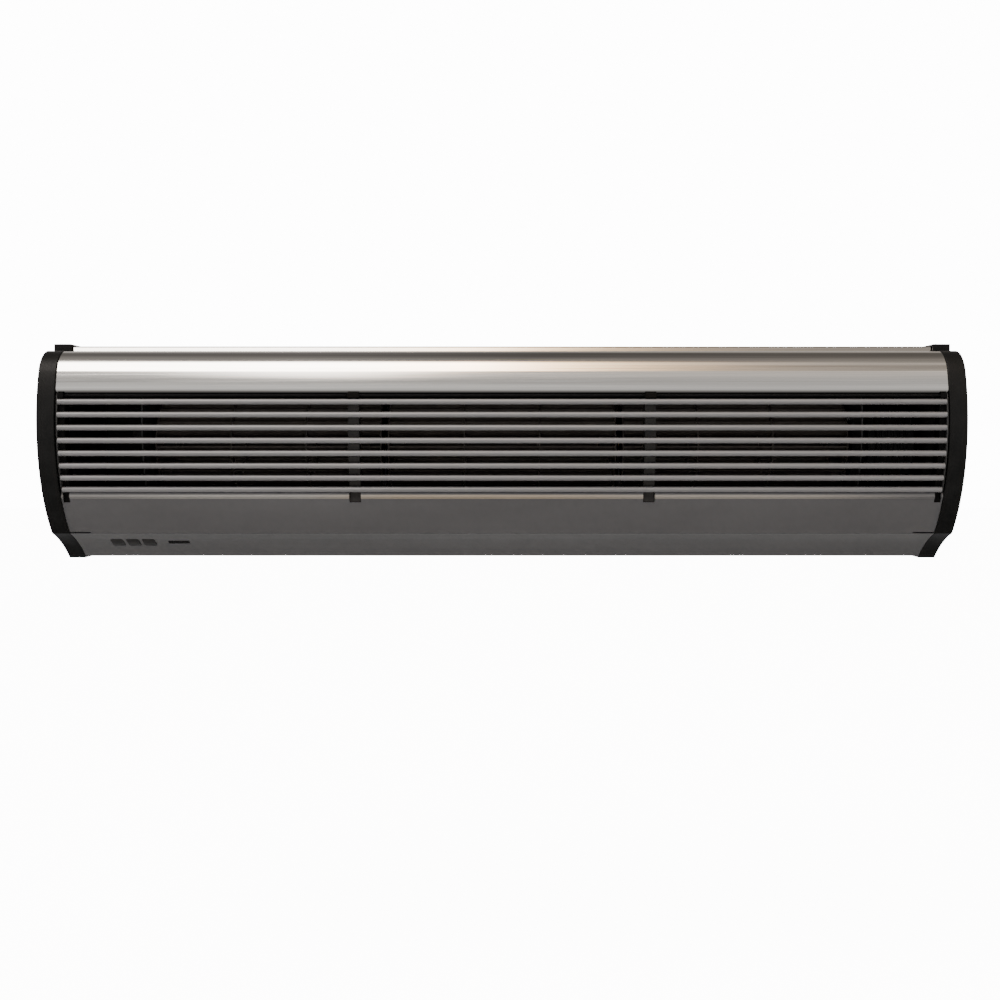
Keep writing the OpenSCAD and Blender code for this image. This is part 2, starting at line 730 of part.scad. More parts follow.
module hanger(x) {
    color("silver") difference() {
        union() {
            along_x(x - hanger_t / 2, x + hanger_t / 2) {
                translate(rotor_c) circle(hanger_r);
                n = left(unit(rotor_c - foot)) * hanger_r * 0.9;
                polygon([rotor_c + n, foot - [foot_l / 2, 0], foot + [foot_l / 2, 0],
                         rotor_c - n]);
            }
            translate([x - hanger_t / 2, foot[0] - foot_l / 2, foot[1]]) cube([foot_w, foot_l, hanger_t]);
        }
        bar(rotor_c, bush_r + gap / 2, x - 3, x + 3);
    }
}
module hanger_left() { hanger(-drum_gap_x); }
module hanger_right() { hanger(drum_gap_x); }
module hanger_bushes() {
    color("#8a6a30") for (x = [-drum_gap_x, drum_gap_x])
        translate([x - bush_l / 2, rotor_c[0], rotor_c[1]]) rotate([0, 90, 0]) difference() {
            cylinder(r = bush_r, h = bush_l);
            translate([0, 0, -1]) cylinder(r = shaft_r + run_fit, h = bush_l + 2);
        }
}

// ---- Motor and electrics ----
module motor_body() {
    neck = motor_l * 0.22;
    color("#4a4c50") translate([motor_x0, rotor_c[0], rotor_c[1]]) rotate([0, 90, 0]) difference() {
        union() {
            rotate_extrude() difference() {
                union() {
                    translate([0, 4]) square([motor_r - 3, motor_l - 8]);
                    translate([0, 0]) square([motor_r - 12, motor_l]);
                    translate([0, neck]) square([motor_r, motor_l - 2 * neck]);
                }
                for (k = [0:4]) translate([motor_r - 1.6, neck + 3 + k * 6]) square([3, 2.4]);
            }
            for (a = [45:90:315]) rotate(-a) translate([lug_r, 0, 0]) cylinder(r = 6, h = 6);
        }
        translate([0, 0, -1]) cylinder(r = shaft_r + run_fit, h = motor_l - 4);
        for (a = [45:90:315]) rotate(-a) translate([lug_r, 0, -1]) cylinder(r = bolt_r + hub_wall, h = 6);
    }
}
module motor_spacers() {
    color("#202020") for (a = [45:90:315]) {
        c = rotor_c + polar(lug_r, a);
        difference() {
            bar(c, 6, bulkhead_x + sheet_t + gap, motor_x0 - gap);
            bar(c, bolt_r + gap, bulkhead_x, motor_x0 + 1);
        }
    }
}
module motor_bolts() {
    color("lightgray") for (a = [45:90:315]) {
        c = rotor_c + polar(lug_r, a);
        bar(c, bolt_r, bulkhead_x - 2, motor_x0 + 4.5);
        bar(c, bolt_r * 1.9, bulkhead_x - 2.6, bulkhead_x - gap);
    }
}
electric_x = -bulkhead_x - sheet_t - gap;
can = [30, 34, 34];
can_back = back_y - 2 * sheet_t - 2 * gap;
can_at = [electric_x - 14 - can[0], can_back - can[1], 46];
tag_in = 9;
module run_capacitor() {
    color("#d8d8d4") translate(can_at) {
        cube(can);
        for (x = [tag_in, can[0] - tag_in]) translate([x - 0.4, can[1] / 2 - 3, can[2] - 0.01])
            cube([0.8, 6, 8]);
    }
}
strap_w = 12;
module capacitor_strap() {
    inside = [can[0] + 2 * gap, can[1] + 2 * gap];
    color("silver") translate([can_at[0] - gap, can_at[1] - gap, can_at[2] + (can[2] - strap_w) / 2])
        linear_extrude(strap_w) difference() {
            translate([-sheet_t, -sheet_t]) square(inside + [2 * sheet_t, 2 * sheet_t]);
            square(inside);
        }
}
module terminal_block() {
    w = 14;
    color("#e8e4d8") translate([electric_x - w, at_u(lip_u) + 6, -bottom_z + 34]) difference() {
        union() {
            cube([w, 46, 12]);
            translate([0, 0, 10]) for (k = [0:3]) translate([1, 2 + k * 11, 0]) cube([w - 2, 9, 7]);
        }
        for (k = [0:3]) translate([w / 2, 6.5 + k * 11, 9]) cylinder(r = 2.4, h = 10);
    }
}
grommet_z = 20;
// The grommet is closed by a membrane that the cable is pushed through.
grommet_l = 6;
membrane_t = 0.6;
module cable_grommet() {
    color("#1c1c1c") translate([-cable_x, back_y + 1.6, grommet_z]) rotate([90, 0, 0]) difference() {
        union() {
            cylinder(r = cable_r + 5, h = 1.4);
            cylinder(r = cable_r + 2.4, h = grommet_l);
            translate([0, 0, 1.6 + sheet_t + gap]) cylinder(r = cable_r + 5, h = 2);
        }
        translate([0, 0, -1]) cylinder(r = cable_r, h = 1 + grommet_l - membrane_t);
    }
}

// ---- Outlet ----
module deflector_vane() {
    up = vane_chord * 0.45;
    color("silver") {
        along_x(-inside_x + 3, inside_x - 3) translate(vane_c) {
            circle(vane_pin_r + 1);
            polygon([[-1, 0], [-0.7, up - 1], [0, up], [0.7, up - 1], [1, 0],
                     [0.7, up + 1 - vane_chord], [0, up - vane_chord], [-0.7, up + 1 - vane_chord]]);
        }
        bar(vane_c, vane_pin_r, -bulkhead_x - 5, bulkhead_x + 5);
    }
}
module vane_bushes() {
    color("#e0e0dc") mirror_x() translate([bulkhead_x - gap - 1, vane_c[0], vane_c[1]]) rotate([0, 90, 0])
        difference() {
            union() {
                cylinder(r = vane_hole_r + 2, h = 1);
                cylinder(r = vane_hole_r - hub_wall, h = 1 + gap + sheet_t + 2);
            }
            translate([0, 0, -1]) cylinder(r = vane_pin_r + run_fit, h = 8);
        }
}

// ---- Casing, end plates and caps ----
hook_z = 60;
slot_h = 17;
foot_tab_w = 40;
hook_reach = 6;
hook_rise = 14;
tab_low_z = floor_z + gap;
tab_d = 10;
lock_y = back_y - tab_d / 2;
lock_r = 2;
module casing_2d() {
    h = sheet_t / 2;
    folded([[ledge_y + h, cover_z - metal_i - ledge_flange], [ledge_y + h, ledge_z],
            [ledge_y + h + ledge_lean, top_z - metal_i - h], [back_y - h, top_z - metal_i - h],
            [back_y - h, -bottom_z + metal_i + h], [outlet_y, -bottom_z + metal_i + h]], sheet_t, bend_r);
}
tray_lap = 8;
tray_screw_x = bulkhead_x + 40;
tray_screw_y = outlet_y + tray_lap / 2;
module rear_casing() {
    color("silver") difference() {
        along_x(-end_x + gap, end_x - gap) casing_2d();
        mirror_x() translate([tray_screw_x, tray_screw_y, -bottom_z])
            cylinder(r = screw_r, h = metal_i + sheet_t + 1);
        for (x = [-hook_x, hook_x]) {
            translate([x - hook_w / 2 - 1, back_y - 2 * sheet_t, hook_z + plate_t + gap - slot_h])
                cube([hook_w + 2, 4 * sheet_t, slot_h]);
            translate([x - foot_tab_w / 2 - 1, back_y - 2 * sheet_t, tab_low_z - gap])
                cube([foot_tab_w + 2, 4 * sheet_t, plate_t + 3 * gap]);
            translate([x, lock_y, -bottom_z]) cylinder(r = lock_r + gap, h = metal_i + sheet_t + 1);
        }
        for (s = [-1, 1], z = tab_z) translate([s * (bulkhead_x + tab_l - 5), back_y + 1, z])
            rotate([90, 0, 0]) cylinder(r = screw_r, h = sheet_t + 2);
        translate([-cable_x, back_y + 1, grommet_z]) rotate([90, 0, 0])
            cylinder(r = cable_r + 2.4 + hub_wall, h = sheet_t + 2);
    }
}
// Closes the underside beside the outlet, with a lap that lies on the casing.
module end_tray(side) {
    x0 = bulkhead_x;
    x1 = end_x - gap;
    color("silver") rotate_side(side) difference() {
        union() {
            along_x(x0, x1) rect(at_u(lip_u) + skin_t * 1.5 + 2 * gap, -bottom_z + metal_i,
                                 outlet_y - gap, floor_z);
            along_x(x0 + sheet_t + tray_lap, x1 - sheet_t - tray_lap) {
                rect(outlet_y - tray_lap, floor_z - sheet_t / 2, outlet_y - gap, floor_z + gap + sheet_t);
                rect(outlet_y - 2 * gap, floor_z + gap, outlet_y + tray_lap, floor_z + gap + sheet_t);
            }
        }
        translate([tray_screw_x, tray_screw_y, floor_z])
            cylinder(r = screw_r, h = gap + sheet_t + 1);
    }
}
module end_tray_left() { end_tray(-1); }
module end_tray_right() { end_tray(1); }
cap_screw_at = [[at_u(70), 62], [at_u(120), -60]];
cap_hole_r = 1.6;
module end_plate(side) {
    x0 = min(side * carrier_x, side * plate_x);
    color("silver") difference() {
        along_x(x0, x0 + sheet_t) inner_2d();
        for (c = cap_screw_at) bar(c, cap_hole_r, x0 - 1, x0 + sheet_t + 1);
    }
}
module end_plate_left() { end_plate(-1); }
module end_plate_right() { end_plate(1); }

cap_wall = 2.5;
cap_face = 3;
screw_head_r = 3.4;
head_sink = 3;
module end_cap(side) {
    color("#1e1e20") rotate_side(side) difference() {
        union() {
            difference() {
                along_x(end_x, end_x + cap_w) outline(0, cap_back_y, 0, 0);
                along_x(end_x - 1, end_x + cap_w - cap_face)
                    outline(cap_wall, cap_back_y - cap_wall, cap_wall, cap_wall);
            }
            for (c = cap_screw_at) bar(c, screw_head_r + 2, end_x, end_x + cap_w - 1);
            // ribs that stiffen the face between the screw posts
            for (k = [-2:2]) along_x(end_x + 5, end_x + cap_w - 1)
                intersection() {
                    outline(cap_wall - 0.5, cap_back_y - cap_wall + 0.5, cap_wall - 0.5,
                            cap_wall - 0.5);
                    rect(-big, bulge_z / 2 + k * 36 - 0.8, big, bulge_z / 2 + k * 36 + 0.8);
                }
        }
        for (c = cap_screw_at) {
            bar(c, cap_hole_r + gap, end_x - 1, end_x + cap_w + 1);
            bar(c, screw_head_r + gap, end_x + cap_w - head_sink, end_x + cap_w + 1);
        }
    }
}
module rotate_side(side) {
    if (side > 0) children();
    else mirror([1, 0, 0]) children();
}
module end_cap_left() { end_cap(-1); }
module end_cap_right() { end_cap(1); }
module cap_screws() {
    color("#2a2a2a") mirror_x() for (c = cap_screw_at) {
        bar(c, cap_hole_r - hub_wall, carrier_x - 2, end_x + cap_w - head_sink + 1);
        bar(c, screw_head_r, end_x + cap_w - head_sink + hub_wall, end_x + cap_w - 0.8);
    }
}
module casing_screws() {
    color("lightgray") for (s = [-1, 1], z = tab_z)
        translate([s * (bulkhead_x + tab_l - 5), back_y, z]) rotate([90, 0, 0]) {
            translate([0, 0, -1.8]) cylinder(r = 3.4, h = 1.8 - hub_wall);
            translate([0, 0, -1]) cylinder(r = screw_r - hub_wall, h = 6);
        }
    color("lightgray") mirror_x() translate([tray_screw_x, tray_screw_y, -bottom_z + metal_i]) {
        translate([0, 0, -1.8]) cylinder(r = 3.4, h = 1.8 - hub_wall);
        translate([0, 0, -1]) cylinder(r = screw_r - hub_wall, h = 6);
    }
}

// ---- Wall plate ----
module wall_plate() {
    w = 2 * hook_x + hook_w + 60;
    color("silver") difference() {
        union() {
            translate([-w / 2, -plate_t, -54]) cube([w, plate_t, 54 + hook_z + plate_t]);
            for (x = [-hook_x, hook_x]) {
                translate([x - hook_w / 2, back_y - hook_reach, hook_z])
                    cube([hook_w, hook_reach - back_y, plate_t]);
                translate([x - hook_w / 2, back_y - hook_reach, hook_z])
                    cube([hook_w, plate_t, hook_rise]);
                translate([x - foot_tab_w / 2, -plate_t, tab_low_z]) cube([foot_tab_w, plate_t, 60]);
                translate([x - foot_tab_w / 2, back_y - tab_d, tab_low_z])
                    cube([foot_tab_w, tab_d - back_y, plate_t]);
            }
        }
        for (x = [-1, 1], z = [-1, 1])
            translate([x * wall_dx / 2, 1, z * wall_dz / 2]) rotate([90, 0, 0])
                cylinder(r = wall_hole_r, h = plate_t + 2);
        for (x = [-hook_x, hook_x]) translate([x, lock_y, tab_low_z - 1])
            cylinder(r = lock_r, h = plate_t + 2);
    }
}
module locking_screws() {
    color("lightgray") for (x = [-hook_x, hook_x]) translate([x, lock_y, -bottom_z + metal_i]) {
        translate([0, 0, -1.8]) cylinder(r = 3.8, h = 1.8 - hub_wall);
        translate([0, 0, -1]) cylinder(r = lock_r - hub_wall, h = 7);
    }
}

wall_plate();
rear_casing();
end_tray_left();
end_tray_right();
end_plate_left();
end_plate_right();
top_cover();
intake_slats();
comb_left();
comb_right();
end_comb_left();
end_comb_right();
front_fascia();
end_cap_left();
end_cap_right();
bulkhead_left();
bulkhead_right();
scroll();
tongue();
drum_left();
drum_middle();
drum_right();
drum_hubs();
stub_shaft();
link_shafts();
motor_shaft();
end_bearing();
hanger_left();
hanger_right();
hanger_bushes();
motor_body();
motor_spacers();
motor_bolts();
run_capacitor();
capacitor_strap();
terminal_block();
button_guide();
control_board();
button_1();
button_2();
button_3();
receiver_window();
deflector_vane();
vane_bushes();
cable_grommet();
cap_screws();
casing_screws();
locking_screws();
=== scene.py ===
# %% [markdown]
# # A wall-mounted air curtain, dressed for its portrait
#
# An air curtain hangs above a doorway and blows a flat sheet of air down across it.
# This lesson takes the solid model of one, which already moves, and gives it what a
# solid model lacks: brushed metal, moulded plastic, soft edges and studio light.
#
# The solid model is called the frame here. It is loaded first, and everything else is
# placed by its measurements, in metres, so nothing ever has to be nudged into place.

# %% Load the frame
import bpy
import bmesh
import json
from math import radians, pi
from mathutils import Vector, Matrix


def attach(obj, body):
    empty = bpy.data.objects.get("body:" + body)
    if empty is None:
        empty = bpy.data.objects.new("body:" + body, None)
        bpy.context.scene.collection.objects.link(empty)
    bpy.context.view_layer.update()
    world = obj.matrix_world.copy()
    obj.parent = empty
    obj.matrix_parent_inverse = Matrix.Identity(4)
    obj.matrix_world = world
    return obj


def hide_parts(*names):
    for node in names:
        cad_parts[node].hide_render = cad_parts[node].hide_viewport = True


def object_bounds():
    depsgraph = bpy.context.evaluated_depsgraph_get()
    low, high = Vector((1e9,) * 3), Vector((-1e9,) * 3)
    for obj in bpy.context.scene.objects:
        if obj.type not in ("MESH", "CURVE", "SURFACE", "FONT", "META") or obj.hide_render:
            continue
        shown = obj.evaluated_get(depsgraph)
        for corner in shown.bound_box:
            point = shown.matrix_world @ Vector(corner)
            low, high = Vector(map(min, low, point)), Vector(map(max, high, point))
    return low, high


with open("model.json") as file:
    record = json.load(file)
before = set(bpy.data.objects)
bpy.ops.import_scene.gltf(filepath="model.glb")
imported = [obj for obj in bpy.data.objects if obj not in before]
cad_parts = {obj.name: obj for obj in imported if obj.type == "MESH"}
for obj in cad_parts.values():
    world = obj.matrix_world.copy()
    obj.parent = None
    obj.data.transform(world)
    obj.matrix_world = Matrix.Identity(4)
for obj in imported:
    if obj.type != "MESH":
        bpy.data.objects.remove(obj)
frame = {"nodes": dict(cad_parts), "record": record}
solid_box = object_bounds()
nodes = frame["nodes"]
print("solid nodes:", len(nodes))
print("box:", [[round(v, 4) for v in corner] for corner in solid_box])

# %% [markdown]
# # The camera
#
# The photograph looks straight at the unit from close by: the ends of the casing lean
# outwards a little, which tells how near the lens was. A 50 mm lens 1.34 m in front of
# the casing gives the same lean. The unit sits a little above the middle of the picture.
# A tilted camera would aim there as well, but level edges would no longer be level in
# the picture, so the lens is shifted instead.

# %% Place the camera
LENS_TO_FRONT = 1.340
LENS_MM, SENSOR_MM = 50, 36
SHIFT_X, SHIFT_Y = -0.00205, -0.0496
camera_data = bpy.data.cameras.new("portrait_camera")
camera_data.lens = LENS_MM
camera_data.sensor_width = SENSOR_MM
camera_data.shift_x = SHIFT_X
camera_data.shift_y = SHIFT_Y
camera = bpy.data.objects.new("portrait_camera", camera_data)
bpy.context.scene.collection.objects.link(camera)
camera.location = (0, solid_box[0][1] - LENS_TO_FRONT, 0)
camera.rotation_euler = (pi / 2, 0, 0)
bpy.context.scene.camera = camera
print("camera at", tuple(round(v, 3) for v in camera.location))

# %% [markdown]
# # Helpers for node trees
#
# The studio and every finish are small node trees. Wiring them node by node takes many
# lines, so four helpers do it: one adds a node with its wires, one turns one range into
# another, one folds numbers together, and one mixes two colours.

# %% Helpers for node trees
def add(tree, kind, wires=None, **settings):
    """Add a node. Each wire is a socket to link or a plain value to set."""
    made = tree.nodes.new(kind)
    for key, value in settings.items():
        setattr(made, key, value)
    for key, value in (wires or {}).items():
        if isinstance(value, bpy.types.NodeSocket):
            tree.links.new(value, made.inputs[key])
        else:
            made.inputs[key].default_value = value
    return made


def between(tree, fac, low, high, start=0.3, end=0.7, smooth=False):
    """Where fac goes from start to end, the result goes from low to high.

    Left out, the range is the one in which most values of a noise lie.
    """
    span = add(tree, "ShaderNodeMapRange", {"Value": fac, "From Min": start, "From Max": end,
                                            "To Min": low, "To Max": high})
    if smooth:
        span.interpolation_type = "SMOOTHSTEP"
    return span.outputs["Result"]


def folded(tree, how, *values):
    """Fold numbers together from left to right, such as by ADD or MULTIPLY."""
    result = values[0]
    for value in values[1:]:
        result = add(tree, "ShaderNodeMath", {0: result, 1: value}, operation=how).outputs[0]
    return result


def mixed(tree, fac, first, second, blend_type="MIX"):
    """A colour that goes from first to second as fac goes from 0 to 1."""
    first, second = [(*c, 1) if isinstance(c, tuple) else c for c in (first, second)]
    return add(tree, "ShaderNodeMix", {0: fac, 6: first, 7: second},
               data_type="RGBA", blend_type=blend_type).outputs[2]


print("helpers ready")

# %% [markdown]
# # The studio
#
# Polished metal shows what is around it more than its own colour. Lamps and cards around
# the casing would do, but each would have to be placed by trial. Every part of the cover
# is straight from left to right, so each height on it mirrors one elevation of the
# studio, and the studio can simply be painted as a dome, by elevation: 0 is ahead of the
# casing, 90 straight up, 180 behind it and -90 straight down. It is pale ahead and far
# behind, dim overhead and dark below. Each step of the table stands for one band of the
# cover, and the short steps near 30 degrees make the band above the rolled edge.

# %% Paint the dome
DOME = [(-180, 0.8), (-150, 0.7), (-125, 0.05), (-100, 0.02), (-84, 0.03), (-66, 0.06),
        (-46, 0.13), (-30, 0.26), (-14, 0.55), (4, 0.80), (27, 0.90), (29, 0.54),
        (31, 0.54), (34, 1.0), (39, 1.0), (48, 0.50), (60, 0.30), (67, 0.62), (71, 0.62),
        (78, 0.42), (90, 0.40), (100, 0.28), (112, 0.18), (132, 0.17), (150, 0.7), (180, 0.8)]
world = bpy.data.worlds.new("painted_studio")
bpy.context.scene.world = world
world.use_nodes = True
sky = world.node_tree
sky.nodes.clear()
axes = add(sky, "ShaderNodeSeparateXYZ",
           {"Vector": add(sky, "ShaderNodeTexCoord").outputs["Generated"]}).outputs
side = axes["X"]
ahead = folded(sky, "MULTIPLY", axes["Y"], -1.0)
elevation = folded(sky, "MULTIPLY", folded(sky, "ARCTAN2", axes["Z"], ahead), 180 / pi)
ramp = add(sky, "ShaderNodeValToRGB", {"Fac": between(sky, elevation, 0, 1, -180, 180)})
stops = ramp.color_ramp.elements
while len(stops) < len(DOME):
    stops.new(0.5)
for stop, (degrees_up, value) in zip(stops, DOME):
    stop.position = (degrees_up + 180) / 360
    stop.color = (value, value, value, 1)
print("dome painted with", len(DOME), "steps")

# %% [markdown]
# # The bright cloth overhead
#
# A bright cloth hangs overhead and gives the cover its highlight. It fades in and out by
# elevation. Its lower edge is lowest a little left of the middle, and it dims to the
# right by equal ratios, as a cloth does that is lit from one side. It is a little warm at
# the left and warmest just right of the middle. All this could be an image, but a few
# ramps say it plainly. A place to the side is given as the X of the direction, from -1
# at the left to 1 at the right. A ramp of four numbers goes from the first to the second
# where the place or the elevation goes from the third to the fourth.

# %% Hang the cloth
CLOTH_POWER = 16.0
FADES_IN, FADES_OUT, LEFT_END = (29.5, 41), (70, 84), (-0.5, -0.4)
DIMS, LEFT_OVER = (-0.02, 0.28), 0.003
DROOP_LEFT, DROOP_RIGHT = (-6, 0, -0.32, -0.14), (0, -5, -0.12, 0.02)
CLOTH_PALE, CLOTH_WARM = (1, 0.95, 0.90), (1, 0.67, 0.36)
WARMS, COOLS = (0, 1, -0.13, 0.04), (1, 0.72, 0.12, 0.24)
drooping = folded(sky, "ADD", elevation, between(sky, side, *DROOP_LEFT, smooth=True),
                  between(sky, side, *DROOP_RIGHT, smooth=True))
dimming = folded(sky, "POWER", LEFT_OVER, between(sky, side, 0, 1, *DIMS))
cloth = folded(sky, "MULTIPLY", CLOTH_POWER, dimming,
               between(sky, drooping, 0, 1, *FADES_IN, smooth=True),
               between(sky, elevation, 1, 0, *FADES_OUT, smooth=True),
               between(sky, side, 0, 1, *LEFT_END, smooth=True))
warmest = folded(sky, "MULTIPLY", between(sky, side, *WARMS), between(sky, side, *COOLS))
cloth_colour = mixed(sky, warmest, CLOTH_PALE, CLOTH_WARM)
print("cloth between", FADES_IN[0], "and", FADES_OUT[1], "degrees")

# %% [markdown]
# # The light of the dome
#
# Behind the cloth the dome itself is warm from about 35 degrees up, and more so at the
# right. Overhead it is darker around the middle and a little at the right, which makes
# the dark band of the cover deeper there. What the camera sees behind the casing is white
# paper, far brighter than the dome. A real sheet of paper there would light the casing as
# well, so the Is Camera Ray output keeps the two apart.

# %% Tint the dome and join it to the backdrop
BACKDROP_POWER = 14.0
DOME_WARM = (1, 0.92, 0.84)
WARM_ABOVE, WARM_RIGHT = (0, 0.5, 31, 38), 0.5
RIGHT, RIGHT_ABOVE, RIGHT_DIM = (-0.05, 0.25), (26, 34), 0.95
SHADE, SHADE_LIFTS, SHADE_ABOVE = (0, 0.36, -0.14, 0.02), (1, 0.45, 0.06, 0.24), (73, 80)


def background(colour, strength):
    """Light of one colour and strength from the whole sky."""
    return add(sky, "ShaderNodeBackground", {"Color": colour, "Strength": strength}).outputs[0]


to_right = folded(sky, "MULTIPLY", between(sky, side, 0, 1, *RIGHT),
                  between(sky, elevation, 0, 1, *RIGHT_ABOVE))
warmth = folded(sky, "ADD", between(sky, elevation, *WARM_ABOVE),
                folded(sky, "MULTIPLY", to_right, WARM_RIGHT))
dome_colour = mixed(sky, warmth, ramp.outputs["Color"], DOME_WARM, "MULTIPLY")
overhead = folded(sky, "MULTIPLY", between(sky, side, *SHADE), between(sky, side, *SHADE_LIFTS),
                  between(sky, elevation, 0, 1, *SHADE_ABOVE))
dome_power = folded(sky, "MULTIPLY", between(sky, to_right, 1, RIGHT_DIM, 0, 1),
                    between(sky, overhead, 1, 0, 0, 1))
lit = add(sky, "ShaderNodeAddShader", {0: background(dome_colour, dome_power),
                                       1: background(cloth_colour, cloth)})
rays = add(sky, "ShaderNodeLightPath")
paper_white = background((1, 1, 1, 1), BACKDROP_POWER)
joined = add(sky, "ShaderNodeMixShader", {"Fac": rays.outputs["Is Camera Ray"],
                                          1: lit.outputs[0], 2: paper_white})
add(sky, "ShaderNodeOutputWorld", {"Surface": joined.outputs[0]})
print("sky nodes:", len(sky.nodes))

# %% [markdown]
# # The soft box
#
# One wide soft box, low in front, lights what isn't polished: the black plastic and the
# painted sheets. A sun lamp would light them too, but with hard edges. Mirrors don't see
# the box, so it leaves no streak on the cover.

# %% Set up the soft box
FILL_PLACE, FILL_AIM = Vector((-0.3, -1.8, -0.25)), Vector((0, -0.1, 0))
fill_light = bpy.data.lights.new("front_fill", "AREA")
fill_light.shape = "RECTANGLE"
fill_light.size, fill_light.size_y = 2.4, 0.5
fill_light.energy = 20
fill_light.color = (1, 0.98, 0.97)
fill = bpy.data.objects.new("front_fill", fill_light)
fill.location = FILL_PLACE
fill.rotation_euler = (FILL_AIM - FILL_PLACE).to_track_quat("-Z", "Y").to_euler()
bpy.context.scene.collection.objects.link(fill)
fill.visible_glossy = False
print("soft box of", fill_light.energy, "W at", tuple(FILL_PLACE))

# %% [markdown]
# # The floor
#
# The floor is a sheet of pale paper, well below the casing, as under a display stand. It
# could sweep up behind the casing, as in a photographer's studio, but nothing of it shows
# except its tone, so a flat grid does. Mirrors don't see it, because it would turn the
# polished underside white.

# %% Lay the floor
FLOOR_DROP = 0.45
FLOOR_HALF = 12
floor_z = solid_box[0][2] - FLOOR_DROP
floor_bm = bmesh.new()
bmesh.ops.create_grid(floor_bm, x_segments=2, y_segments=2, size=FLOOR_HALF)
bmesh.ops.translate(floor_bm, verts=floor_bm.verts, vec=(0, 0, floor_z))
floor_mesh = bpy.data.meshes.new("floor")
floor_bm.to_mesh(floor_mesh)
floor_bm.free()
floor = bpy.data.objects.new("floor", floor_mesh)
bpy.context.scene.collection.objects.link(floor)
floor.visible_glossy = False
print("floor at z =", round(floor_z, 3))

# %% [markdown]
# # Patterns in metres
#
# Every finish starts from a pattern that is measured in the object's own metres, so it
# keeps its scale and its place from any side and in any pose. An image would need a
# UV map on every node. Noise makes grain: drawn out along X it becomes the hairlines of
# brushed sheet. Voronoi cells make the crystals of a zinc coating.

# %% Patterns for the finishes
def place_on(tree):
    """The place of a point on the object, in metres."""
    return add(tree, "ShaderNodeTexCoord").outputs["Object"]


def axes_of(tree):
    """The three coordinates of a point on the object."""
    return add(tree, "ShaderNodeSeparateXYZ", {"Vector": place_on(tree)}).outputs


def grain(tree, per_metre, detail):
    """Noise with so many grains to a metre, the same along all axes or one number for each."""
    scale = per_metre if isinstance(per_metre, tuple) else (per_metre,) * 3
    scaled = add(tree, "ShaderNodeMapping", {"Vector": place_on(tree), "Scale": scale})
    return add(tree, "ShaderNodeTexNoise", {"Vector": scaled.outputs["Vector"], "Scale": 1.0,
                                            "Detail": detail, "Roughness": 0.55}).outputs["Fac"]


def spangle(tree, per_metre):
    """The crystals of a zinc coating: one even value for each cell."""
    cells = add(tree, "ShaderNodeTexVoronoi", {"Vector": place_on(tree), "Scale": per_metre})
    return add(tree, "ShaderNodeSeparateColor", {"Color": cells.outputs["Color"]}).outputs["Red"]


print("patterns ready")

# %% [markdown]
# The lining and the painted shade under the rolled edge
#
# The cover and the casing are sheets, bright outside, with a lining of black paint on their
# inner side that also serves as painted shade inside the casing, so that the slats look into
# the dark. The black reaches round onto the underside of the cover's rolled lower edge, and
# there it is painted shade only. A second material on the inner faces would need them picked
# by hand. Instead, the normal of a face is compared with the way from the core of the casing
# to the face. A face that looks away from the core by more than 68 mm stays bright, and one
# that does so by less than 48 mm is painted black.

# %% Tell inner faces from outer ones
# black of the inner lining, also used as painted shade inside and under the rolled edge
BLACK_LINING_AND_SHADE, BLACK_LINING_AND_SHADE_ROUGHNESS = (0.006, 0.006, 0.006), 0.8
CASING_CORE = (0, -0.08, 0)
PAINT_FADES, METAL_ENDS = (0.048, 0.068), (0.030, 0.032)


def facing_outward(tree):
    """How far a face of the sheets looks away from the casing's core, in metres."""
    from_core = add(tree, "ShaderNodeVectorMath", {0: place_on(tree), 1: CASING_CORE},
                    operation="SUBTRACT").outputs[0]
    normal = add(tree, "ShaderNodeNewGeometry").outputs["Normal"]
    return add(tree, "ShaderNodeVectorMath", {0: normal, 1: from_core},
               operation="DOT_PRODUCT").outputs["Value"]


print("painted black where a face looks outward by less than", PAINT_FADES[0], "m")

# %% [markdown]
# # The recipe of a finish
#
# A broad grain mixes the two tones of a finish, and a finer one drives its roughness and
# relief. Hairlines and crystals come on top of the broad grain where a metal has them,
# and the black lining with its painted shade comes last. Each tree could be wired by hand
# in the shader editor, but a better idea would then have to be wired into all of them. So
# one function holds the recipe, and each finish is a line of numbers: its dark and light
# tone, its range of roughness and its grain.

# %% The recipe of a finish
CRYSTAL_SHARE = 0.7
finishes = {}


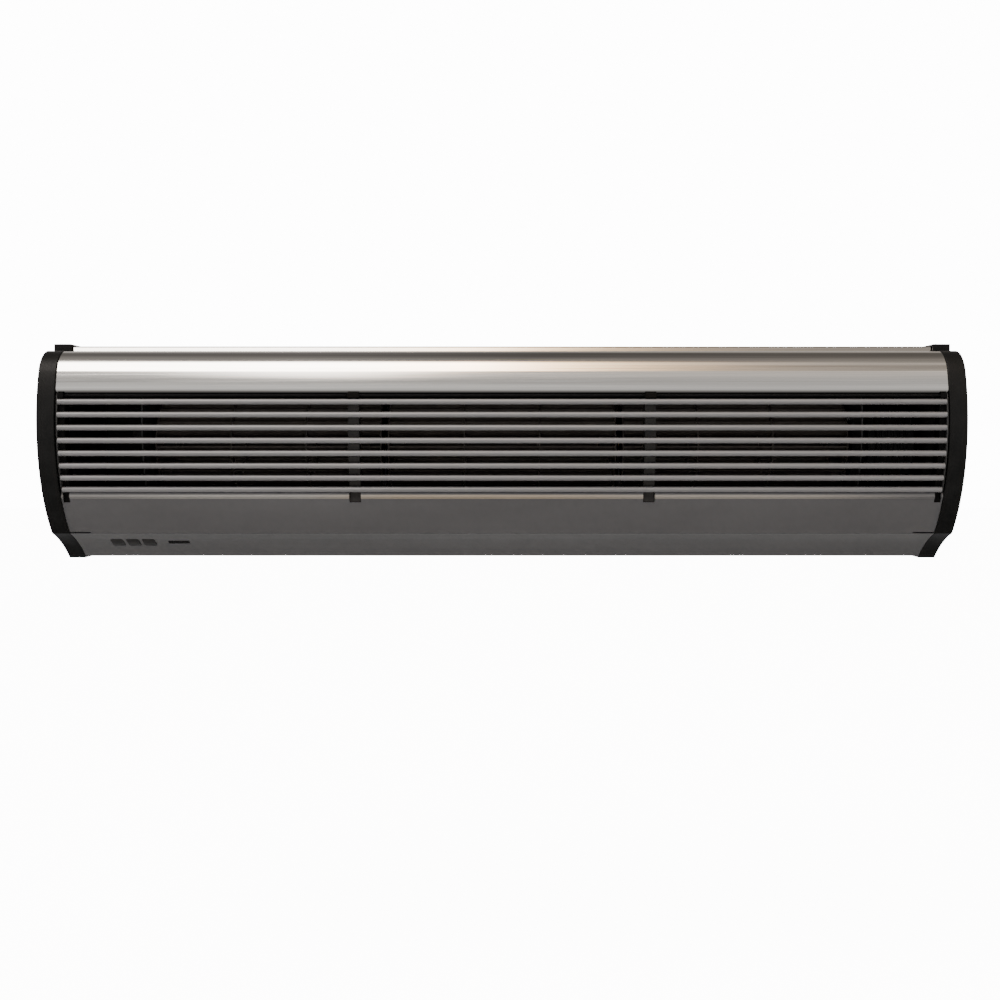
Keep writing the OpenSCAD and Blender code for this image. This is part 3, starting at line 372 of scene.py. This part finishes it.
def finish(name, dark, light, rough, broad, fine, bump, depth, metallic=0.0, specular=None,
           lined_and_shaded=False, hairlines=0.0, crystals=0):
    """Broad and fine are grains to a metre, and depth is the relief's height in metres."""
    material = bpy.data.materials.new(name)
    material.use_nodes = True
    tree = material.node_tree
    shader = tree.nodes["Principled BSDF"].inputs
    shader["Metallic"].default_value = metallic
    if specular is not None:
        shader["Specular IOR Level"].default_value = specular
    small = grain(tree, fine, detail=2.0)
    tone = between(tree, grain(tree, broad, detail=3.0), 0, 1)
    if hairlines:
        lines = between(tree, small, -hairlines, hairlines)
        tone = add(tree, "ShaderNodeMath", {0: tone, 1: lines}, operation="ADD",
                   use_clamp=True).outputs[0]
    if crystals:
        tone = add(tree, "ShaderNodeMix", {0: 1 - CRYSTAL_SHARE, 2: spangle(tree, crystals),
                                           3: tone}).outputs[0]
    colour = mixed(tree, tone, dark, light)
    gloss = between(tree, small, *rough)
    # black lining inside, and painted shade where the black reaches round the cover's rolled
    # lower edge
    if lined_and_shaded:
        outward = facing_outward(tree)
        inward = between(tree, outward, 1, 0, *METAL_ENDS)
        colour = mixed(tree, between(tree, outward, 1, 0, *PAINT_FADES), colour, BLACK_LINING_AND_SHADE)
        gloss = add(tree, "ShaderNodeMix", {0: inward, 2: gloss,
                                            3: BLACK_LINING_AND_SHADE_ROUGHNESS}).outputs[0]
        tree.links.new(between(tree, inward, metallic, 0, 0, 1), shader["Metallic"])
    relief = add(tree, "ShaderNodeBump", {"Height": small, "Strength": bump, "Distance": depth})
    tree.links.new(colour, shader["Base Color"])
    tree.links.new(gloss, shader["Roughness"])
    tree.links.new(relief.outputs["Normal"], shader["Normal"])
    finishes[name] = material
    return material


def repaint(name, fac, colour):
    """Where fac is 1, a finish takes another colour."""
    tree = finishes[name].node_tree
    base = tree.nodes["Principled BSDF"].inputs["Base Color"]
    tree.links.new(mixed(tree, fac, base.links[0].from_socket, colour), base)


print("recipe ready")

# %% [markdown]
# # The outside
#
# The cover is brushed stainless sheet: shiny, with hairlines along its length. The slats
# and the painted front are satin, and their grain hardly shows from a step away. The
# moulded parts are almost black, with a fine texture that breaks up their gloss. A single
# flat colour for each would do from afar, but it looks like a toy as the camera comes near.

# %% The finishes of the outside
finish("brushed_cover", (0.58, 0.553, 0.52), (0.76, 0.732, 0.695), rough=(0.08, 0.14),
       broad=(1.2, 160, 160), fine=(6, 1500, 1500), bump=0.08, depth=0.00002,
       metallic=1.0, lined_and_shaded=True, hairlines=0.35)
finish("slat_metal", (0.1005, 0.1010, 0.1045), (0.1215, 0.1220, 0.1265), rough=(0.42, 0.50),
       broad=(1.5, 200, 200), fine=(8, 1800, 1800), bump=0.1, depth=0.00003, metallic=0.35)
finish("fascia_paint", (0.0472, 0.0474, 0.0500), (0.0542, 0.0543, 0.0572), rough=(0.40, 0.50),
       broad=(5, 14, 14), fine=2500, bump=0.08, depth=0.00004, metallic=0.2)
finish("black_plastic", (0.0036, 0.0036, 0.0036), (0.0052, 0.0051, 0.0051), rough=(0.36, 0.54),
       broad=60, fine=1500, bump=0.5, depth=0.00015, specular=0.09)
finish("button_plastic", (0.0105, 0.0105, 0.0105), (0.0145, 0.0145, 0.0145), rough=(0.40, 0.50),
       broad=120, fine=1600, bump=0.15, depth=0.00004, specular=0.12)
finish("window_plastic", (0.0014, 0.0012, 0.0012), (0.002, 0.0018, 0.0018), rough=(0.06, 0.12),
       broad=90, fine=700, bump=0.05, depth=0.00002, specular=0.03)
print("outside finishes:", sorted(finishes))

# %% [markdown]
# The painted highlight on the bead
#
# The lip along the top of the painted front has a narrow rolled bead, which catches the
# light from above. That highlight is painted into the paint as a lighter band. A strip of
# metal could be laid on it, but it would have to follow the curve of the lip, while a band
# of heights in the paint picks the bead out by itself. The painted highlight is brightest
# along the middle, where it is also warmest, and hardly shows at the right end.

# %% The painted highlight on the bead of the lip
# the lighter, warmer band on the bead is a painted highlight
BEAD_LOW, BEAD_HIGH, BEAD_EDGE = -0.0474, -0.0437, 0.0004
BEAD_HIGHLIGHT_PALE, BEAD_HIGHLIGHT_WARM = (0.128, 0.124, 0.117), (0.150, 0.124, 0.094)
HIGHLIGHT_FADES_LEFT, HIGHLIGHT_FADES_RIGHT = (0.45, 0.92, -0.42, -0.27), (1, 0.04, 0.26, 0.44)
HIGHLIGHT_WARM_LEFT, HIGHLIGHT_WARM_RIGHT_END = (0, 1, -0.20, -0.10), (1, 0.3, 0.04, 0.16)
paint = finishes["fascia_paint"].node_tree
along, _, height = axes_of(paint)
bead_highlight = folded(paint, "MULTIPLY",
                 between(paint, height, 0, 1, BEAD_LOW - BEAD_EDGE, BEAD_LOW),
                 between(paint, height, 1, 0, BEAD_HIGH, BEAD_HIGH + BEAD_EDGE),
                 between(paint, along, *HIGHLIGHT_FADES_LEFT, smooth=True),
                 between(paint, along, *HIGHLIGHT_FADES_RIGHT, smooth=True))
highlight_warmth = folded(paint, "MULTIPLY", between(paint, along, *HIGHLIGHT_WARM_LEFT),
                   between(paint, along, *HIGHLIGHT_WARM_RIGHT_END))
repaint("fascia_paint", bead_highlight, mixed(paint, highlight_warmth, BEAD_HIGHLIGHT_PALE, BEAD_HIGHLIGHT_WARM))
print("bead between", BEAD_LOW, "and", BEAD_HIGH)

# %% [markdown]
# # The inside
#
# The wall plate is zinc coated, the sheets along the air path are coated black, the
# shafts are bare steel and the bushes between the drums are bronze. The drums and the
# motor can be glimpsed between the slats. Less light would dim them, but the front would
# go dark with them, so their finishes are dark instead. The vane is brushed like the cover.

# %% The finishes of the inside
finish("galvanised", (0.44, 0.45, 0.46), (0.62, 0.63, 0.64), rough=(0.32, 0.50),
       broad=70, fine=300, bump=0.1, depth=0.00004, metallic=1.0, crystals=110)
finish("black_coat", (0.012, 0.012, 0.012), (0.018, 0.018, 0.018), rough=(0.45, 0.60),
       broad=40, fine=1500, bump=0.2, depth=0.00005)
finish("rotor_aluminium", (0.044, 0.0385, 0.0335), (0.064, 0.056, 0.0495), rough=(0.38, 0.52),
       broad=(30, 90, 90), fine=900, bump=0.1, depth=0.00004, metallic=0.6)
finish("shaft_steel", (0.52, 0.52, 0.53), (0.64, 0.64, 0.65), rough=(0.16, 0.28),
       broad=(400, 30, 30), fine=(2600, 200, 200), bump=0.08, depth=0.00002, metallic=1.0)
finish("rubber", (0.014, 0.014, 0.014), (0.022, 0.021, 0.021), rough=(0.70, 0.85),
       broad=80, fine=900, bump=0.3, depth=0.00008)
finish("bush_bronze", (0.38, 0.26, 0.12), (0.50, 0.36, 0.18), rough=(0.30, 0.45),
       broad=200, fine=1800, bump=0.2, depth=0.00004, metallic=1.0)
finish("motor_case", (0.0042, 0.0042, 0.0045), (0.0062, 0.0062, 0.0066), rough=(0.45, 0.60),
       broad=60, fine=1000, bump=0.2, depth=0.00006, specular=0.15)
finish("white_plastic", (0.66, 0.65, 0.61), (0.74, 0.73, 0.69), rough=(0.35, 0.48),
       broad=60, fine=1100, bump=0.1, depth=0.00004)
finish("board_green", (0.012, 0.075, 0.03), (0.018, 0.10, 0.04), rough=(0.25, 0.38),
       broad=300, fine=900, bump=0.2, depth=0.00004)
finish("screw_zinc", (0.50, 0.50, 0.50), (0.62, 0.62, 0.61), rough=(0.22, 0.36),
       broad=500, fine=2000, bump=0.15, depth=0.00003, metallic=1.0)
finish("screw_black", (0.02, 0.02, 0.021), (0.035, 0.035, 0.036), rough=(0.25, 0.38),
       broad=500, fine=2000, bump=0.15, depth=0.00003, metallic=0.6)
finish("vane_metal", (0.60, 0.575, 0.545), (0.76, 0.732, 0.695), rough=(0.14, 0.22),
       broad=(1.2, 160, 160), fine=(6, 1500, 1500), bump=0.08, depth=0.00002,
       metallic=1.0, hairlines=0.35)
finish("comb_black", (0.002, 0.002, 0.002), (0.003, 0.003, 0.003), rough=(0.6, 0.7),
       broad=60, fine=1400, bump=0.25, depth=0.00006, specular=0.04)
finish("comb_plastic", (0.0115, 0.011, 0.0107), (0.0150, 0.0145, 0.014), rough=(0.40, 0.52),
       broad=60, fine=1400, bump=0.25, depth=0.00006, specular=0.05)
print("all finishes:", len(finishes))

# %% [markdown]
# Painted shade on the combs
#
# The combs are grey, but for the block at their top that hooks over the cover's rolled
# edge: it stands in the shade of that edge, and the shade is painted into it as near black.
# The block could have a material of its own, but its height on the object tells it from the
# rest, so the comb stays one piece with one finish.

# %% The painted shade on the upper end of the combs
# near black of the top block: painted shade under the cover's rolled edge
COMB_PAINTED_SHADE = (0.0022, 0.0019, 0.0016)
PAINTED_SHADE_OVER = (0.046, 0.051)
comb = finishes["comb_plastic"].node_tree
repaint("comb_plastic", between(comb, axes_of(comb)["Z"], 0, 1, *PAINTED_SHADE_OVER), COMB_PAINTED_SHADE)
print("combs dark above z =", PAINTED_SHADE_OVER[0])

# %% [markdown]
# # Dressing the solid nodes
#
# The record of the frame names a material slot for every node. The finishes could be
# given one by one, but with this many nodes a mistake is easily made, so each node takes
# the finish that has the name of its slot.

# %% Dress the solid nodes by their material slots
slot_of = {part["node"]: part["material_slot"] for part in frame["record"]["subparts"]}
for name, item in nodes.items():
    item.data.materials.clear()
    item.data.materials.append(finishes[slot_of[name]])
print("dressed", len(slot_of), "nodes")

# %% [markdown]
# # Softened edges
#
# No moulding and no sawn or punched metal part has a truly sharp edge, and the thin line
# of light along a rounded edge is much of what makes a part look real. A Bevel modifier on
# each part would do, but an edge that meets a curved one needs care, so the rounding is
# done once, in the mesh: a copy of the solid node is merged, its flat faces are joined,
# the sharp edges are found by their angle and bevelled. The copy then stands in the
# node's place, and the weighted normals keep the large faces looking flat.

# %% Helpers for pieces of our own
MERGE_WITHIN = 0.00001
FLAT_WITHIN_DEGREES, SHARP_OVER_DEGREES = 0.5, 40
FLAT_FACE_WEIGHT = 80


def settle(bm, name, finish_name, slot, body, *replaced):
    """Turn a bmesh into a finished piece that rides on a body and replaces nodes."""
    bmesh.ops.recalc_face_normals(bm, faces=bm.faces)
    for face in bm.faces:
        face.smooth = True
    mesh = bpy.data.meshes.new(name)
    bm.to_mesh(mesh)
    bm.free()
    piece = bpy.data.objects.new(name, mesh)
    bpy.context.scene.collection.objects.link(piece)
    piece.data.materials.append(finishes[finish_name])
    piece.modifiers.new("even_light", "WEIGHTED_NORMAL").weight = FLAT_FACE_WEIGHT
    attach(piece, body)
    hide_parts(*replaced)
    return piece


def merged(node):
    """A merged copy of a node's loose triangles, its flat faces joined."""
    bm = bmesh.new()
    bm.from_mesh(nodes[node].data)
    bmesh.ops.remove_doubles(bm, verts=bm.verts, dist=MERGE_WITHIN)
    bmesh.ops.dissolve_limit(bm, angle_limit=radians(FLAT_WITHIN_DEGREES),
                             verts=bm.verts, edges=bm.edges)
    return bm


def softened(node, radius, segments=2, finish_name=None, body="housing", slot=None):
    """Put a copy with rounded edges in the place of a node."""
    bm = merged(node)
    sharp = [e for e in bm.edges
             if len(e.link_faces) == 2 and e.calc_face_angle() > radians(SHARP_OVER_DEGREES)]
    bmesh.ops.bevel(bm, geom=sharp, affect="EDGES", offset_type="OFFSET", offset=radius,
                    segments=segments, profile=0.5, material=-1, clamp_overlap=False)
    slot = slot or slot_of[node]
    piece = settle(bm, "soft_" + node, finish_name or slot, slot, body, node)
    print(piece.name, len(sharp), "edges rounded by", radius * 1000, "mm")


print("edges count as sharp over", SHARP_OVER_DEGREES, "degrees")

# %% [markdown]
# # The moulded parts
#
# The end caps are injection moulded, so every rim has a radius of about a millimetre. The
# three buttons are crowned and stand a little proud of the painted front, and the lens of
# the receiver is a small polished bar beside them. The combs that carry the slats are
# moulded too, from a plastic that is greyer than the caps. Such radii could be part of
# the solid model, but they are so fine that only the eye needs them, so they come here.

# %% Caps, buttons, lens and combs
for end in ("left", "right"):
    softened("end_cap_" + end, radius=0.0009, segments=3)
for number in ("1", "2", "3"):
    softened("button_" + number, radius=0.0005, body="button_" + number)
softened("receiver_window", radius=0.0003)
for end in ("left", "right"):
    softened("comb_" + end, radius=0.0004, finish_name="comb_plastic")
    softened("end_comb_" + end, radius=0.0004, finish_name="comb_black")

# %% [markdown]
# # Punched and cast parts
#
# The wall plate is punched from galvanised sheet and the vane is cut from brushed sheet,
# so their edges are only just broken. The motor is a casting and the terminal block is
# moulded, with rounder edges, and the can of the run capacitor has the roundest ones. It
# is black, so that nothing pale shows through the slats. One radius for all would be
# quicker, but it would make the sheets look like pillows.

# %% Plate, motor, block and grommet
softened("wall_plate", radius=0.0004)
softened("motor_body", radius=0.0006)
softened("terminal_block", radius=0.0005)
softened("run_capacitor", radius=0.0015, segments=3, slot="black_plastic")
softened("cable_grommet", radius=0.0004)
softened("deflector_vane", radius=0.0003, body="vane", finish_name="vane_metal")

# %% [markdown]
# # Cross-head screws
#
# A screw head is a low dome with a cross pressed into it. It could be cut with a boolean,
# but the cross is only twelve points, so the dome is built as rings that shrink upwards
# and the last ring is bridged to the outline of the cross, which is then pushed down. All
# proportions are shares of the head's radius or height, but for the tip, which follows
# the radius of the shank.

# %% One screw, pointing up
SCREW_SIDES = 24
HEAD_RINGS = ((1.0, 0.30), (0.95, 0.26), (0.88, 0.20), (0.80, 0.14), (0.78, 0.08))
CROSS_ARM, CROSS_HALF_WIDTH = 0.46, 0.12
CROSS_TOP, CROSS_TAPER, CROSS_DEPTH = 0.98, 0.6, 0.55
TIP_TAPER, TIP_LENGTH = 0.8, 0.2


def next_ring(bm, ring, grow, up):
    """Extrude a ring of edges, then scale it about the axis and lift it."""
    made = bmesh.ops.extrude_edge_only(bm, edges=ring)["geom"]
    verts = [part for part in made if isinstance(part, bmesh.types.BMVert)]
    bmesh.ops.scale(bm, verts=verts, vec=(grow, grow, 1))
    bmesh.ops.translate(bm, verts=verts, vec=(0, 0, up))
    fresh = set(verts)
    return [e for e in bm.edges if e.verts[0] in fresh and e.verts[1] in fresh]


def cross_head(bm, radius, height, shank, length):
    """Add a screw at the origin: its head rises from z = 0, its shank goes down."""
    before = set(bm.verts)
    circle = bmesh.ops.create_circle(bm, radius=radius, segments=SCREW_SIDES)["verts"]
    rim = list({e for v in circle for e in v.link_edges})
    under = next_ring(bm, rim, shank / radius, 0)
    foot = next_ring(bm, under, 1, -length)
    tip = next_ring(bm, foot, TIP_TAPER, -TIP_LENGTH * shank)
    bmesh.ops.contextual_create(bm, geom=tip)
    ring = rim
    for grow, up in HEAD_RINGS:
        ring = next_ring(bm, ring, grow, up * height)
    arm, half = CROSS_ARM * radius, CROSS_HALF_WIDTH * radius
    corners = []
    for quarter in range(4):
        turn = Matrix.Rotation(quarter * pi / 2, 3, "Z")
        for x, y in ((arm, -half), (arm, half), (half, half)):
            corners.append(bm.verts.new(turn @ Vector((x, y, CROSS_TOP * height))))
    outline = [bm.edges.new((corners[i], corners[i - 1])) for i in range(len(corners))]
    bmesh.ops.bridge_loops(bm, edges=ring + outline)
    bottom = next_ring(bm, outline, CROSS_TAPER, -CROSS_DEPTH * height)
    bmesh.ops.contextual_create(bm, geom=bottom)
    return [v for v in bm.verts if v not in before]


print("a screw head has", len(HEAD_RINGS), "rings of", SCREW_SIDES, "points")

# %% [markdown]
# # A screw for every solid
#
# The heads face outwards at the end caps, downwards or backwards at the casing, and the
# two that lock it to the wall plate face downwards. The places could be typed in, but the
# solids know them: each node is taken apart into its separate screws, and each of them
# gives the axis, the seat of the head, the shank and the length of the new one. All
# screws of a node then become one piece.

# %% The screws of the caps, the casing and the wall plate
HEAD_BEYOND, SHANK_BEYOND = 0.9, 0.3  # shares of the head's radius
UNDERSIDE = -0.09  # casing screws below this height point down


def separate_screws(solid):
    """The points of each screw of a merged node."""
    left = set(solid.verts)
    while left:
        stack, screw = [left.pop()], []
        while stack:
            vert = stack.pop()
            screw.append(vert.co.copy())
            for edge in vert.link_edges:
                other = edge.other_vert(vert)
                if other in left:
                    left.remove(other)
                    stack.append(other)
        yield screw


def screws_for(node, outward_of, finish_name="screw_zinc"):
    """Rebuild the screws of a node; outward_of tells where the head at a place points."""
    solid, bm, count = merged(node), bmesh.new(), 0
    for screw in separate_screws(solid):
        low = Vector([min(co[i] for co in screw) for i in range(3)])
        high = Vector([max(co[i] for co in screw) for i in range(3)])
        middle, size = (low + high) / 2, high - low
        out = Vector(outward_of(middle))
        half_length = abs(size.dot(out)) / 2
        head_r = max(size[i] for i in range(3) if not out[i]) / 2
        from_axis = [(co - middle).cross(out).length for co in screw]
        seat = min((co - middle).dot(out) for co, away in zip(screw, from_axis)
                   if away > HEAD_BEYOND * head_r)
        shank = min(away for away in from_axis if away > SHANK_BEYOND * head_r)
        verts = cross_head(bm, head_r, half_length - seat, shank,
                           seat + half_length - TIP_LENGTH * shank)
        turn = out.to_track_quat("Z", "Y").to_matrix().to_4x4()
        place = Matrix.Translation(middle + out * seat) @ turn
        bmesh.ops.transform(bm, matrix=place, verts=verts)
        count += 1
    solid.free()
    piece = settle(bm, "cross_head_" + node, finish_name, slot_of[node], "housing", node)
    print(piece.name, count, "screws")


screws_for("cap_screws", lambda middle: (1 if middle.x > 0 else -1, 0, 0), "screw_black")
screws_for("casing_screws", lambda middle: (0, 0, -1) if middle.z < UNDERSIDE else (0, 1, 0))
screws_for("locking_screws", lambda middle: (0, 0, -1))

# %% [markdown]
# # Paper for the floor
#
# The paper has to look as bright as the backdrop, and yet send only a little light up to
# the folded band. A lamp aimed at it would raise both at once, so the paper glows by
# itself, brightly for the camera and weakly for everything else.

# %% A pale floor
FLOOR_GLOW = 12.0
FLOOR_BOUNCE = 0.45
paper = finish("floor_paper", (0.86, 0.86, 0.85), (0.90, 0.90, 0.89), rough=(0.6, 0.7),
               broad=3, fine=24, bump=0.05, depth=0.0002)
paper_tree = paper.node_tree
paper_shader = paper_tree.nodes["Principled BSDF"].inputs
paper_shader["Emission Color"].default_value = (1, 1, 1, 1)
seen = add(paper_tree, "ShaderNodeLightPath").outputs["Is Camera Ray"]
paper_tree.links.new(between(paper_tree, seen, FLOOR_BOUNCE, FLOOR_GLOW, 0, 1),
                     paper_shader["Emission Strength"])
floor.data.materials.append(paper)
print("floor glows with", FLOOR_GLOW, "for the camera and", FLOOR_BOUNCE, "for the rest")

# %% [markdown]
# The end
#
# What is dressed must still fit where the solid model does. That could be judged by eye,
# but a sliver that sticks out is easily missed. The box of the solid nodes is taken at the
# start, but the box of what is seen now is not taken here.

# %% Close the lesson
print("lesson closed")
